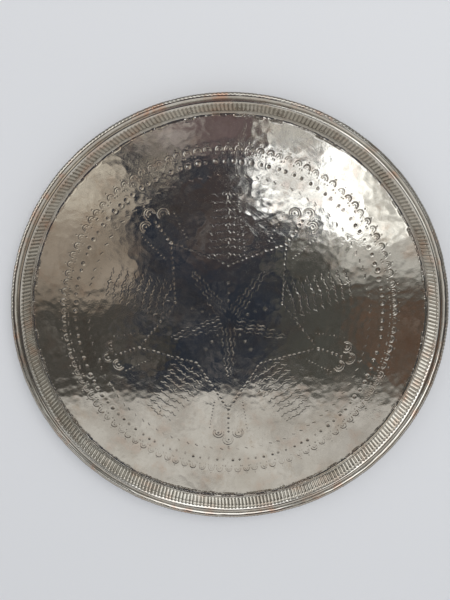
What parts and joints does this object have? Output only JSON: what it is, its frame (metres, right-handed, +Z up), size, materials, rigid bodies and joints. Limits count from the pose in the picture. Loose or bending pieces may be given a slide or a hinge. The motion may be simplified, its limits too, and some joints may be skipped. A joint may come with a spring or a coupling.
{
  "type": "offering plate",
  "caption": "Round offering plate of tinned copper sheet with a flat chased well, a steep fluted wall, a narrow shoulder and a milled edge rolled over a stiffening wire.",
  "frame": {"origin": "under the middle of the flat floor, on the surface the plate rests on", "axes": "+Z up along the plate's axis, out of its open side; +X and +Y in the plane of the floor, with +Y towards the part of the rim that is uppermost when the plate is stood on its edge"},
  "size_m": [0.4499, 0.45, 0.02],
  "materials": {
    "tinned_copper": "satin",
    "iron_wire": "matte"
  },
  "bodies": {
    "root": {"tray_sheet": "tinned_copper", "rim_wire": "iron_wire"}
  },
  "joints": []
}
